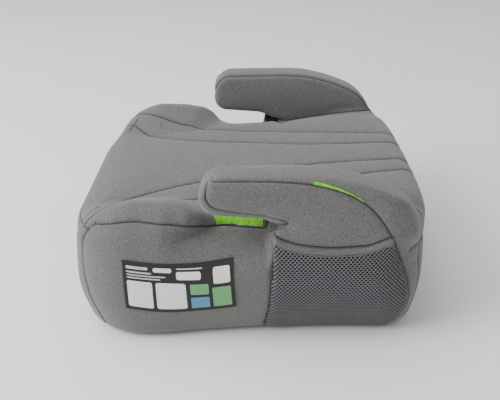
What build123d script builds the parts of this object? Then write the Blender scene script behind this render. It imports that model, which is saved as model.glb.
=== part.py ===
"""Backless booster seat: a ribbed moulded shell on a base tray, two bolted armrests,
foam padding and a sewn knit cover.

Frame: millimetres, +Z up, origin on the floor under the middle of the seat.
The child faces -Y, so +X is the child's left-hand side.
"""

import os

from build123d import *

os.makedirs("parts", exist_ok=True)

# ---------------------------------------------------------------- driving dimensions
HALF_WIDTH = 204.0        # belly of the side panels
HALF_DEPTH = 211.0        # nose of the seat to the back face
HEIGHT = 216.0            # top of the armrests
FLOOR_GAP = 1.0           # the cover clears the floor, the rubber feet carry the seat

COVER = 3.0               # knit fabric laminated to thin foam
UPHOLSTERY = 12.0         # cover and foam together
WALL = 2.5                # moulded wall
COVER_BOTTOM = FLOOR_GAP + COVER

BELLY_Z = 84.0            # height of the widest point of the sides
TUCK = 28.0               # how far the sides tuck in under the belly
TUCK_ANGLE = 19.0
PLAN_BULGE = 11.5         # how far the four sides of the plan bow out
PLAN_CORNER = 70.0

# profiles across the seat as (Y, Z), all with the same points from the nose to the back:
# the seat surface, the bolster crest with its belt slot sill, and the fall to the sides
SEAT_LINE = [(-222, 60), (-207, 136), (-140, 143), (-86, 147), (-50, 149),
             (30, 154), (46, 155), (172, 163), (222, 90)]
CREST_LINE = [(-222, 60), (-196, 150), (-136, 170), (-86, 169), (-52, 138),
              (36, 133), (50, 145), (172, 163), (222, 90)]
SIDE_LINE = [(-222, 30), (-196, 96), (-136, 112), (-86, 112), (-52, 96),
             (36, 96), (50, 112), (172, 120), (222, 40)]
SEAT_HALF = 98.0          # X of each profile on the left-hand side
CREST_X = 162.0
ROOF_END = 212.0

# armrest, seen from the side
ARM_INNER = 157.0
ARM_OUTER = 203.0
ARM_OUTLINE = [(38, 134), (12, 149), (-58, 160), (-58, 216), (70, 216), (142, 199), (187, 163),
               (206, 118)]
ARM_ROUNDING = [((-70, -40), 24), ((60, 80), 60), ((130, 150), 60), ((175, 195), 50)]  # (Y span, radius)
ARM_ROOT_Z = 100.0        # padding and cover of the armrest reach down inside the body to here
CORE_ROOT_Z = 58.0        # and its moulded tongue to here
TONGUE_X = 178.0          # outer face of that tongue
ARM_EDGE = 12.0
ARM_UNDERCUT = [(176, 150), (206, 180), (206, 120), (176, 120)]   # (X, Z), over the slot
SLOT_END = 38.0           # the belt slot is open from the armrest tip back to here
SLOT_SILL_Z = 132.0       # height of the sill under the slot
SOCKET_X = 166.0          # upright web of the shell that each armrest is bolted to
SOCKET_CENTER = (100, 130)          # that web, as (Y, Z) of its middle
SOCKET_SIZE = (110, 160)            # and its length and height

# seams of the cover in plan, as (X, Y) of the left-hand side
INNER_SEAM = [(27, 230), (27, 168), (32, 91), (68, -72), (100, -148), (150, -186), (150, -230)]
OUTER_SEAM = [(60, 230), (65, 157), (115, -75), (140, -150), (150, -186), (150, -230)]
# outline of the side panel and limits of the top panels, as (Y, Z)
SIDE_SEAM = [(-176, 0), (-190, 60), (-193, 100), (-186, 138), (-168, 154), (-110, 159),
             (-66, 157), (-46, 139), (30, 133), (44, 162), (176, 162), (179, 90),
             (168, 45), (160, 0)]
TOP_LIMITS = [(-230, 136), (-186, 136), (-180, 120), (186, 120), (186, 230), (-230, 230)]
HEM_TOP = 12.0
HEM_WIDTH = 34.0
FLANK_DEPTH = 5.0         # how far the armrest's two flat panels reach round its edges
SIDE_PANEL_X = 140.0      # the side panels lie outside this

# trims
POCKET_OUTLINE = [(24, 12), (24, 145), (76, 134), (119, 134), (156, 144), (168, 115), (176, 84),
                  (168, 45), (160, 12)]
BINDING_OUTLINE = [(24, 144), (24, 155), (43, 147), (76, 140), (119, 140), (153, 150),
                   (157, 140), (119, 130), (76, 130), (43, 136)]
GREEN_BAND = (-38.0, 20.0)          # along Y, on the slot sill
GREEN_STRIP = [(66, 204), (66, 222), (118, 222), (118, 188), (93, 198)]   # in the armrest's top seam
GREEN_THICK = 1.2
SILL_X = (157.0, 166.0)             # across the sill
LABEL = (-142.0, -17.0, 52.0, 117.0)
MESH_THICK = 1.5
BINDING_THICK = 2.0
LABEL_THICK = 0.6

# moulded parts and hardware
RIB_X = [-93, -31, 31, 93]
RIB_Y = [-124, -62, 0, 62, 124]
RIB_BOTTOM = 10.0
TRAY_BOTTOM = 6.0
TRAY_THICK = 3.0
TRAY_CLEARANCE = 0.5
TRAY_RIB = (4.0, 1.5)     # width and depth of the low ribs under the tray
TRAY_RIB_X = [-60, -20, 20, 60]
TRAY_RIB_Y = [-100, -50, 0, 50, 100]
BOSS_RADIUS = 8.0
SCREW_RADIUS = 2.5
HEAD_RADIUS = 5.0
HEAD_HEIGHT = 3.0
SCREW_LENGTH = 18.0
ARM_SCREW_LENGTH = 10.0
FOOT_RADIUS = 18.0
STUD_RADIUS = 4.0
STUD_RIM = 2.0            # barb that holds a foot in the tray
SHELL_SCREWS = [(x, y) for x in (-93, 93) for y in (-124, 0, 124)]
FEET = [(x, y) for x in (-112, 112) for y in (-84, 84)]
ARM_SCREWS = [(78, 84), (108, 84)]  # (Y, Z)
FOAM_SPLIT_X = 152.0      # the side foams lie outside this
FOAM_SPLIT_Z = 112.0      # the seat foam above this, the front and rear foams below it
ELASTIC_WIDTH = 5.0
ELASTIC_THICK = 1.6
FAR = 300.0               # longer than any part, for cuts that pass right through

LEFT, RIGHT = 1, -1
SIDES = {"left": LEFT, "right": RIGHT}


# ---------------------------------------------------------------- shared shapes
def finish(name, shape):
    """Name a piece and write it."""
    shape.label = name
    export_step(shape, f"parts/{name}.step")


def plan_block(inset, bottom=-5.0, height=HEIGHT + 10, taper=0.0):
    """Upright block of the barrel-shaped plan outline, all four sides gently bowed."""
    wide, deep = HALF_WIDTH - inset, HALF_DEPTH - inset
    corner_x, corner_y = wide - PLAN_BULGE, deep - PLAN_BULGE
    with BuildPart() as block:
        with BuildSketch(Plane.XY.offset(bottom)) as plan:
            with BuildLine():
                ThreePointArc((-corner_x, -corner_y), (0, -deep), (corner_x, -corner_y))
                ThreePointArc((corner_x, -corner_y), (wide, 0), (corner_x, corner_y))
                ThreePointArc((corner_x, corner_y), (0, deep), (-corner_x, corner_y))
                ThreePointArc((-corner_x, corner_y), (-wide, 0), (-corner_x, -corner_y))
            make_face()
            fillet(plan.vertices(), PLAN_CORNER - inset)
        extrude(amount=height, taper=taper)
    return block.part


def tub_block(inset):
    """Open-ended block that leans out from the underside to above the belly."""
    bottom = FLOOR_GAP + min(inset, COVER)
    lean = BELLY_Z + 20 - bottom
    with BuildPart() as block:
        add(plan_block(TUCK + inset, bottom, lean, taper=-TUCK_ANGLE))
        with BuildSketch(Plane.XY.offset(bottom + lean - 1)):
            Rectangle(2 * FAR, 2 * FAR)
        extrude(amount=HEIGHT)
    return block.part


def roof_block(inset):
    """Everything below the upper surface of the seat, its bolsters and the slot sills."""
    stations = [(0, SEAT_LINE), (SEAT_HALF, SEAT_LINE), (CREST_X, CREST_LINE), (ROOF_END, SIDE_LINE)]
    with BuildPart() as block:
        for x, line in stations:
            with BuildSketch(Plane.YZ.offset(x)):
                with BuildLine():
                    Polyline(*[(y, z - inset) for y, z in line], (222, -20), (-222, -20), close=True)
                make_face()
        loft(ruled=True)
        mirror(about=Plane.YZ)
    return block.part


def body_solid(inset):
    """The padded body without its armrests, drawn in by the inset."""
    with BuildPart() as body:
        add(roof_block(inset))
        add(plan_block(inset), mode=Mode.INTERSECT)
        add(tub_block(inset), mode=Mode.INTERSECT)
    return body.part


def prism(plane, points, near, far):
    """Straight-sided cutter between two distances along the plane's normal."""
    with BuildPart() as cutter:
        with BuildSketch(plane.offset(near)):
            with BuildLine():
                Polyline(*points, close=True)
            make_face()
        extrude(amount=far - near)
    return cutter.part


def arm_solid(inset, root=ARM_ROOT_Z):
    """Left armrest with its root inside the body, drawn in by the inset."""
    with BuildPart() as arm:
        with BuildSketch(Plane.YZ.offset(ARM_INNER + inset)) as profile:
            with BuildLine():
                Polyline(*ARM_OUTLINE, (206, root), (SLOT_END, root), close=True)
            make_face()
            if inset:
                offset(amount=-inset, kind=Kind.INTERSECTION)
            for reach, radius in ARM_ROUNDING:
                corners = [v for v in profile.vertices() if reach[0] < v.X < reach[1] and v.Y > root + 20]
                fillet(corners, max(radius - inset, 2))
        extrude(amount=ARM_OUTER - ARM_INNER - 2 * inset)
        flanks = arm.faces().filter_by(Axis.X)
        fillet(flanks.edges(), max(ARM_EDGE - inset, 2))
        undercut = [(x - inset, z + inset) for x, z in ARM_UNDERCUT]
        add(prism(Plane.XZ, undercut, -SLOT_END, 90), mode=Mode.SUBTRACT)
        add(plan_block(inset), mode=Mode.INTERSECT)
    return arm.part


def combine(base, cuts=(), keep=()):
    """Cut away some shapes and keep only what lies inside others."""
    with BuildPart() as piece:
        add(base)
        for shape in cuts:
            add(shape, mode=Mode.SUBTRACT)
        for shape in keep:
            add(shape, mode=Mode.INTERSECT)
    return piece.part


def on_side(shape, side):
    """The shape itself on the left-hand side, its mirror image on the right."""
    return shape if side == LEFT else shape.mirror(Plane.YZ)


def column(x, y, radius, bottom, top):
    with BuildPart() as post:
        with BuildSketch(Plane.XY.offset(bottom)):
            with Locations((x, y)):
                Circle(radius)
        extrude(amount=top - bottom)
    return post.part


# ---------------------------------------------------------------- nested surfaces
cover_body = body_solid(0)
foam_body = body_solid(COVER)
shell_body = body_solid(UPHOLSTERY)
shell_inside = body_solid(UPHOLSTERY + WALL)
tray_space = body_solid(UPHOLSTERY + WALL + TRAY_CLEARANCE)

cover_arm = arm_solid(0)
foam_arm = arm_solid(COVER)
core_arm = combine(
    arm_solid(UPHOLSTERY, CORE_ROOT_Z),
    cuts=[prism(Plane.XY, [(TONGUE_X, 0), (FAR, 0), (FAR, FAR), (TONGUE_X, FAR)], 0, SLOT_SILL_Z)],
)


def region(low_x=-FAR, high_x=FAR, low_y=-FAR, high_y=FAR, bottom=-FAR, top=FAR):
    """Everything between the given limits."""
    corners = [(low_x, low_y), (high_x, low_y), (high_x, high_y), (low_x, high_y)]
    return prism(Plane.XY, corners, bottom, top)


inner_cut = prism(Plane.XY, INNER_SEAM + [(-x, y) for x, y in reversed(INNER_SEAM)], ARM_ROOT_Z, FAR)
outer_cut = prism(Plane.XY, OUTER_SEAM + [(-x, y) for x, y in reversed(OUTER_SEAM)], ARM_ROOT_Z, FAR)
side_cut = prism(Plane.YZ, SIDE_SEAM, SIDE_PANEL_X, FAR)
top_cut = prism(Plane.YZ, TOP_LIMITS, -FAR, FAR)
front_half = region(high_y=0)
left_half = region(low_x=0)
below_hem = region(top=HEM_TOP)


# ---------------------------------------------------------------- moulded shell and tray
def make_seat_shell():
    with BuildPart() as shell:
        add(shell_body)
        add(shell_inside, mode=Mode.SUBTRACT)
        with BuildPart(mode=Mode.PRIVATE) as ribs:
            with BuildSketch(Plane.XY.offset(RIB_BOTTOM)):
                for x in RIB_X:
                    with Locations((x, 0)):
                        Rectangle(WALL, 2 * FAR)
                for y in RIB_Y:
                    with Locations((0, y)):
                        Rectangle(2 * SOCKET_X, WALL)
                for x, y in SHELL_SCREWS:
                    with Locations((x, y)):
                        Circle(BOSS_RADIUS)
            extrude(amount=HEIGHT)
            for side in SIDES.values():
                with BuildSketch(Plane.YZ.offset(side * (SOCKET_X + WALL / 2))):
                    with Locations(SOCKET_CENTER):
                        Rectangle(*SOCKET_SIZE)
                extrude(amount=WALL / 2, both=True)
            add(shell_inside, mode=Mode.INTERSECT)
        add(ribs.part)
        for side in SIDES.values():
            with BuildPart(mode=Mode.PRIVATE) as socket:
                add(on_side(core_arm, side))
            add(socket.part, mode=Mode.SUBTRACT)
        for x, y in SHELL_SCREWS:
            add(column(x, y, SCREW_RADIUS, 0, TRAY_BOTTOM + SCREW_LENGTH), mode=Mode.SUBTRACT)
        for side in SIDES.values():
            with BuildSketch(Plane.YZ.offset(side * SOCKET_X)):
                with Locations(*ARM_SCREWS):
                    Circle(SCREW_RADIUS)
            extrude(amount=2 * WALL, both=True, mode=Mode.SUBTRACT)
    return shell.part


def make_base_tray():
    with BuildPart() as tray:
        add(tray_space)
        with BuildPart(mode=Mode.PRIVATE) as slab:
            with BuildSketch(Plane.XY.offset(TRAY_BOTTOM)):
                Rectangle(2 * FAR, 2 * FAR)
            extrude(amount=TRAY_THICK)
        add(slab.part, mode=Mode.INTERSECT)
        width, depth = TRAY_RIB
        with BuildSketch(Plane.XY.offset(TRAY_BOTTOM - depth)):
            for x in TRAY_RIB_X:
                with Locations((x, 0)):
                    Rectangle(width, TRAY_RIB_Y[-1] - TRAY_RIB_Y[0] + width)
            for y in TRAY_RIB_Y:
                with Locations((0, y)):
                    Rectangle(TRAY_RIB_X[-1] - TRAY_RIB_X[0] + width, width)
        extrude(amount=depth)
        for places, radius in ((SHELL_SCREWS, SCREW_RADIUS), (FEET, STUD_RADIUS)):
            for x, y in places:
                add(column(x, y, radius, 0, TRAY_BOTTOM + TRAY_THICK), mode=Mode.SUBTRACT)
    return tray.part


seat_shell = make_seat_shell()
base_tray = make_base_tray()
finish("seat_shell", seat_shell)
finish("base_tray", base_tray)

with BuildPart() as rubber_feet:
    for foot_x, foot_y in FEET:
        add(column(foot_x, foot_y, FOOT_RADIUS, 0, TRAY_BOTTOM))
        add(column(foot_x, foot_y, STUD_RADIUS, TRAY_BOTTOM, TRAY_BOTTOM + TRAY_THICK))
        tray_top = TRAY_BOTTOM + TRAY_THICK
        add(column(foot_x, foot_y, STUD_RADIUS + STUD_RIM, tray_top, tray_top + STUD_RIM))
finish("rubber_feet", rubber_feet.part)

with BuildPart() as shell_screws:
    for screw_x, screw_y in SHELL_SCREWS:
        add(column(screw_x, screw_y, HEAD_RADIUS, TRAY_BOTTOM - HEAD_HEIGHT, TRAY_BOTTOM))
        add(column(screw_x, screw_y, SCREW_RADIUS, TRAY_BOTTOM, TRAY_BOTTOM + SCREW_LENGTH))
finish("shell_screws", shell_screws.part)


# ---------------------------------------------------------------- armrest cores, screws and foam
with BuildPart() as arm_screws:
    with BuildSketch(Plane.YZ.offset(SOCKET_X - HEAD_HEIGHT)):
        with Locations(*ARM_SCREWS):
            Circle(HEAD_RADIUS)
    extrude(amount=HEAD_HEIGHT)
    with BuildSketch(Plane.YZ.offset(SOCKET_X)):
        with Locations(*ARM_SCREWS):
            Circle(SCREW_RADIUS)
    extrude(amount=ARM_SCREW_LENGTH)

arm_core = combine(core_arm, cuts=[arm_screws.part])
arm_foam = combine(foam_arm, cuts=[core_arm, foam_body])
body_foam = combine(foam_body, cuts=[shell_body, core_arm, core_arm.mirror(Plane.YZ), tray_space])
for side_name, side in SIDES.items():
    finish(f"armrest_core_{side_name}", on_side(arm_core, side))
    finish(f"armrest_screws_{side_name}", on_side(arm_screws.part, side))
    finish(f"armrest_foam_{side_name}", on_side(arm_foam, side))

side_of_foam = region(low_x=FOAM_SPLIT_X)
both_sides = [side_of_foam, side_of_foam.mirror(Plane.YZ)]
top_of_foam = region(bottom=FOAM_SPLIT_Z)
finish("seat_foam", combine(body_foam, cuts=both_sides, keep=[top_of_foam]))
finish("front_foam", combine(body_foam, cuts=both_sides + [top_of_foam], keep=[front_half]))
finish("rear_foam", combine(body_foam, cuts=both_sides + [top_of_foam, front_half]))
side_foam = combine(body_foam, keep=[side_of_foam])
for side_name, side in SIDES.items():
    finish(f"side_foam_{side_name}", on_side(side_foam, side))


# ---------------------------------------------------------------- sewn cover
arms = [cover_arm, cover_arm.mirror(Plane.YZ)]
hem_opening = plan_block(TUCK + HEM_WIDTH, height=2 * HEM_TOP)
skin = combine(cover_body, cuts=[foam_body])
finish("cover_hem", combine(skin, cuts=[hem_opening], keep=[below_hem]))
skin = combine(skin, cuts=arms + [below_hem])

both_side_cuts = [side_cut, side_cut.mirror(Plane.YZ)]
top_skin = combine(skin, cuts=both_side_cuts, keep=[top_cut])
edge_skin = combine(skin, cuts=both_side_cuts + [top_cut])
finish("front_panel", combine(edge_skin, keep=[front_half]))
finish("rear_panel", combine(edge_skin, cuts=[front_half]))
finish("seat_center_panel", combine(top_skin, keep=[inner_cut]))
seat_strip = combine(top_skin, cuts=[inner_cut], keep=[outer_cut, left_half])
bolster_panel = combine(top_skin, cuts=[outer_cut], keep=[left_half])
side_panel = combine(skin, keep=[side_cut])

arm_skin = combine(cover_arm, cuts=[foam_arm, cover_body])
outer_flank = region(low_x=ARM_OUTER - FLANK_DEPTH)
inner_flank = region(high_x=ARM_INNER + FLANK_DEPTH)
cover_parts = {
    "seat_strip": seat_strip,
    "bolster_panel": bolster_panel,
    "side_panel": side_panel,
    "armrest_outer_panel": combine(arm_skin, keep=[outer_flank]),
    "armrest_inner_panel": combine(arm_skin, keep=[inner_flank]),
    "armrest_gusset": combine(arm_skin, cuts=[outer_flank, inner_flank]),
}


# ---------------------------------------------------------------- pocket, belt guides and label
def raised_layer(thickness, outline, inside=()):
    """Thin layer lying on the cover, within a (Y, Z) outline."""
    where = prism(Plane.YZ, outline, SIDE_PANEL_X, FAR)
    layer = combine(body_solid(-thickness), cuts=[cover_body, cover_arm, *inside], keep=[where])
    arm_layer = combine(arm_solid(-thickness), cuts=[cover_body, cover_arm, layer, *inside], keep=[where])
    with BuildPart() as both:
        add(layer)
        add(arm_layer)
    return both.part


def rectangle_outline(start, end, low, top):
    return [(start, low), (start, top), (end, top), (end, low)]


binding = raised_layer(BINDING_THICK, BINDING_OUTLINE)
cover_parts["pocket_binding"] = binding
cover_parts["pocket_mesh"] = raised_layer(MESH_THICK, POCKET_OUTLINE, inside=[binding])
sill = rectangle_outline(*GREEN_BAND, SLOT_SILL_Z - ARM_EDGE, SLOT_SILL_Z + ARM_EDGE)
cover_parts["belt_guide_band"] = combine(
    body_solid(-GREEN_THICK), cuts=[cover_body],
    keep=[prism(Plane.YZ, sill, *SILL_X)],
)
cover_parts["belt_guide_strip"] = combine(
    arm_solid(-GREEN_THICK), cuts=[cover_arm],
    keep=[prism(Plane.YZ, GREEN_STRIP, ARM_OUTER - FLANK_DEPTH, FAR)],
)
for part_name, part in cover_parts.items():
    for side_name, side in SIDES.items():
        finish(f"{part_name}_{side_name}", on_side(part, side))

label = combine(
    body_solid(-LABEL_THICK), cuts=[cover_body],
    keep=[prism(Plane.YZ, rectangle_outline(*LABEL), SIDE_PANEL_X, FAR)],
)
finish("care_label", label)

elastic = combine(
    plan_block(TUCK + HEM_WIDTH - ELASTIC_WIDTH, COVER_BOTTOM, ELASTIC_THICK),
    cuts=[hem_opening],
)
finish("hem_elastic", elastic)
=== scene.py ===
"""Looks of the backless booster seat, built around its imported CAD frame."""

import math

import bpy
import numpy as np
import openvdb
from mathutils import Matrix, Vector
from mathutils.kdtree import KDTree


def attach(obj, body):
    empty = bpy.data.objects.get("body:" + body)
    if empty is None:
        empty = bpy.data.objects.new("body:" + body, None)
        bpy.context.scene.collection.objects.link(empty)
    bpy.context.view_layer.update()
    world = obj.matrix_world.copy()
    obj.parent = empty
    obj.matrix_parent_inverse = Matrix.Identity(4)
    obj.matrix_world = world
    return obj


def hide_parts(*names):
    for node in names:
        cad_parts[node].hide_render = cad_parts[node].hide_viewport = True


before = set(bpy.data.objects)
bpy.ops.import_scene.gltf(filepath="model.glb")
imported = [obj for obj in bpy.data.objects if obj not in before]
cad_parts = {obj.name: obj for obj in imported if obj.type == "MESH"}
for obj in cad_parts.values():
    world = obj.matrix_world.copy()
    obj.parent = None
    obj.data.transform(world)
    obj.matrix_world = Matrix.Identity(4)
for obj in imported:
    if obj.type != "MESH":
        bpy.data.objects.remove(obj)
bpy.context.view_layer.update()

# ---------------- sizes, in millimetres
# The cover is worked out in millimetres and written to Blender in metres.
MM = 0.001
FRONT_Y = 216.0           # how far the nose reaches forward of the middle
REAR_Y = 212.0
BELLY_Z = 108.0           # the sides tuck in below this height
SLOT_DEPTH = 43.0         # how far the sides draw in at the belt slot
SLOT_FROM_Z = 98.0
HUMP_LEAN = 20.0          # how far the front humps lean inwards
HUMP_FROM_Z = 112.0
PLAN_CORNER = 72.0
BOTTOM_EDGE = 14.0
FLOOR_GAP = 1.0
ARM_INNER, ARM_OUTER = 157.0, 203.0
ARM_TIP = -55.0
ARM_REAR = 210.0
ARM_CREST_EDGE = 26.0
ARM_EDGE = 10.0
ARM_BASE = 114.0          # the armrest is cut off inside the body at this height
SLOT_END = 40.0
COVER = 2.4               # knit laminated to thin foam
SEAM_ROLL = 1.4           # how far the cover drops towards a seam
SEAM_LIP = 1.6            # half width of the crease at a seam

# meshes
VOXEL = 3.0               # spacing of the cover's mesh
GRID_LOW, GRID_HIGH = (-222, -228, -9), (222, 228, 228)
CUT_REACH = 16.0          # a seam's value changes by less than this along one mesh edge
FAR_FROM_SEAMS = 60.0
CLOTH_VOXEL = 5.0         # spacing of the mesh that is blown up
CLOTH_FRAMES = 20
CLOTH_CAP = 5.0

# curves along the seat, (Y, value)
BELLY = [(-215, 203), (60, 204), (140, 202), (215, 196)]
FOOT = [(-215, 188), (-115, 190), (-60, 182), (100, 168), (150, 170), (185, 177), (215, 180)]
SEAT = [(-215, 134), (-150, 141), (0, 152), (90, 158), (215, 164)]
EDGE = [(-215, 124), (-196, 142), (-165, 159), (-130, 169), (-90, 168), (-60, 157), (-38, 140), (-18, 132),
        (28, 130), (63, 144), (156, 157), (215, 161)]
CREST = [(-80, 215), (54, 217), (76, 216), (112, 209), (144, 198), (165, 187), (180, 171), (190, 150),
         (196, 128), (201, 100)]

# seams: half widths in plan by Y, and heights by Y
INNER_SEAM = [(-215, 150), (-184, 136), (-148, 101), (-72, 68), (0, 51), (90, 32), (215, 26)]
OUTER_SEAM = [(-215, 171), (-190, 165), (-140, 137), (-105, 122), (-55, 109), (0, 93), (155, 65), (215, 57)]
SIDE_SEAM = [(-215, 112), (-186, 141), (-170, 151), (-130, 158), (-95, 155), (-60, 146), (-38, 137),
             (18, 134), (24, 148), (30, 160), (60, 165)]
# the same, by Z
FRONT_SEAM = [(-10, -166), (28, -179), (56, -188), (95, -193), (125, -190), (142, -182), (152, -172),
              (170, -163)]
# outline of the armrest's outer panel together with the pocket below it, as (Y, Z)
OUTER_LOOP = [(-47, 190), (-47, 212), (-36, 214), (48, 214), (90, 206), (125, 188), (150, 156), (166, 120),
              (183, 78), (189, 44), (170, 10), (156, -12), (12, -12), (22, 40), (24, 100), (24, 150),
              (26, 158), (44, 163), (30, 169), (-34, 177)]
BINDING_TOP = [(15, 150), (25, 150), (38, 144), (60, 138), (90, 135), (125, 137), (150, 147), (175, 152)]
BINDING_WIDTH = 10.5
REAR_TOP_Z = 116.0
REAR_SIDE_X = 166.0
HEM_Z = 2.6
HEM_REACH = 36.0


# ---------------- the cover's shape
def smooth(low, high, x):
    t = np.clip((x - low) / (high - low), 0, 1)
    return t * t * (3 - 2 * t)


def along(x, points):
    """A smooth curve through given points that never swings past them."""
    xs, ys = np.array(points, float).T
    run, rise = np.diff(xs), np.diff(ys)
    pitch = rise / run
    before, after = pitch[:-1], pitch[1:]
    same_way = before * after > 0
    turned = np.where(same_way, 2 * before * after / np.where(same_way, before + after, 1), 0)
    slope = np.r_[pitch[0], turned, pitch[-1]]
    k = np.clip(np.searchsorted(xs, x) - 1, 0, len(run) - 1)
    t = np.clip((x - xs[k]) / run[k], 0, 1)
    ease = t * t * (3 - 2 * t)
    return ys[k] + rise[k] * ease + run[k] * t * (1 - t) * (slope[k] * (1 - t) - slope[k + 1] * t)


def both(a, b, r):
    """Distance to what lies inside both shapes, with the edge between them rounded."""
    return np.minimum(-r, np.maximum(a, b)) + np.hypot(np.maximum(a + r, 0), np.maximum(b + r, 0))


def either(a, b, r):
    """Distance to what lies inside either shape, with the inside corner filled."""
    return np.maximum(r, np.minimum(a, b)) - np.hypot(np.maximum(r - a, 0), np.maximum(r - b, 0))


def half_width(y, z):
    """How far the sides reach out."""
    belly = along(y, BELLY)
    tuck = (belly - along(y, FOOT)) * np.clip((BELLY_Z - z) / BELLY_Z, 0, 1) ** 2
    recess = smooth(-102, -30, y) * (1 - smooth(16, 28, y))
    slot = recess * SLOT_DEPTH * np.clip((z - SLOT_FROM_Z) / 38, 0, 1) ** 2.4
    hump = (1 - smooth(-90, -55, y)) * HUMP_LEAN * np.clip((z - HUMP_FROM_Z) / 52, 0, 1.2) ** 2
    return belly - tuck - slot - hump


def in_slot(y):
    return smooth(-92, -46, y) * (1 - smooth(34, 52, y))


def top_height(ax, y):
    """Seat surface: dished in the middle, rising to the front humps, falling to the slot sills."""
    middle = along(y, SEAT)
    behind = smooth(44, 60, y)
    start = 96 + 26 * in_slot(y) + 16 * behind
    end = 164 + 6 * in_slot(y) - 4 * behind
    ramp = 29 * smooth(16, 25, y) * (1 - smooth(90, 130, y)) * np.clip((ax - 158) / 45, 0, 1)
    return middle + (along(y, EDGE) - middle) * smooth(start, end, ax) + ramp


def body_field(ax, y, z):
    """Distance to the seat without its armrests; ax is X with its sign left off."""
    drop = np.clip((118 - z) / 118, 0, 1) ** 2
    bow = (6 + 8 * smooth(60, 140, z)) * (ax / 180) ** 3
    front_bow = (1 + 10 * smooth(40, 120, z)) * smooth(80, 155, ax)
    plan = both(ax - half_width(y, z), y - (REAR_Y - 12 * drop - bow), 46 + 26 * smooth(20, 150, z))
    plan = both(plan, -y - (FRONT_Y - 15 * drop - front_bow), PLAN_CORNER)
    corner = 14 * smooth(140, 170, ax) + 14 * in_slot(y) * smooth(120, 150, ax)
    edge = 12 * smooth(60, 150, y) + 9 * (1 - smooth(-180, -110, y))
    crisp = 8 * smooth(0, 20, y) * (1 - smooth(40, 60, y))
    upper = both(plan, z - top_height(ax, y), np.maximum(36 - corner - edge, 16 - crisp))
    return both(upper, FLOOR_GAP - z, BOTTOM_EDGE)


def arm_field(ax, y, z):
    """Distance to the armrest on that side."""
    slope = (along(y + 2, CREST) - along(y - 2, CREST)) / 4
    crest = (z - along(y, CREST)) / np.sqrt(1 + slope ** 2)
    end = SLOT_END + 15 * (1 - smooth(165, 195, ax))
    under = 156 + (ax - 166) * 0.55 * smooth(160, 204, ax) - 0.07 * y - 12 * smooth(10, end, y) - z
    lower = either(both(ARM_TIP - y, under, 18), end - y, 6)
    profile = both(lower, crest, ARM_CREST_EDGE)
    flank = np.abs(ax - (ARM_INNER + ARM_OUTER) / 2) - (ARM_OUTER - ARM_INNER) / 2
    plan = both(ax - ARM_OUTER, y - (ARM_REAR - 5 * (ax / 180) ** 2), 60)
    root = 14 * (1 - smooth(108, 150, z))
    return np.maximum(both(profile, np.maximum(flank, plan) + root, ARM_EDGE), ARM_BASE - z)


def cover_field(x, y, z):
    ax = np.abs(x)
    blend = 4 + 12 * smooth(110, 160, y) * (1 - smooth(150, 175, z))
    return either(body_field(ax, y, z), arm_field(ax, y, z), blend)


def gradient(field, p, step=0.4):
    """Central differences of a field at many points."""
    out = np.empty_like(p)
    for k in range(3):
        ahead, behind = p.copy(), p.copy()
        ahead[:, k] += step
        behind[:, k] -= step
        out[:, k] = (field(*ahead.T) - field(*behind.T)) / (2 * step)
    return out


def onto(field, p, rounds=3):
    """Points moved along the field's slope until they lie on its zero surface."""
    for _ in range(rounds):
        g = gradient(field, p)
        p = p - g * (field(*p.T) / np.maximum((g ** 2).sum(1), 0.05))[:, None]
    return p


def unit(v):
    return v / np.maximum(np.linalg.norm(v, axis=1, keepdims=True), 1e-9)


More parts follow.
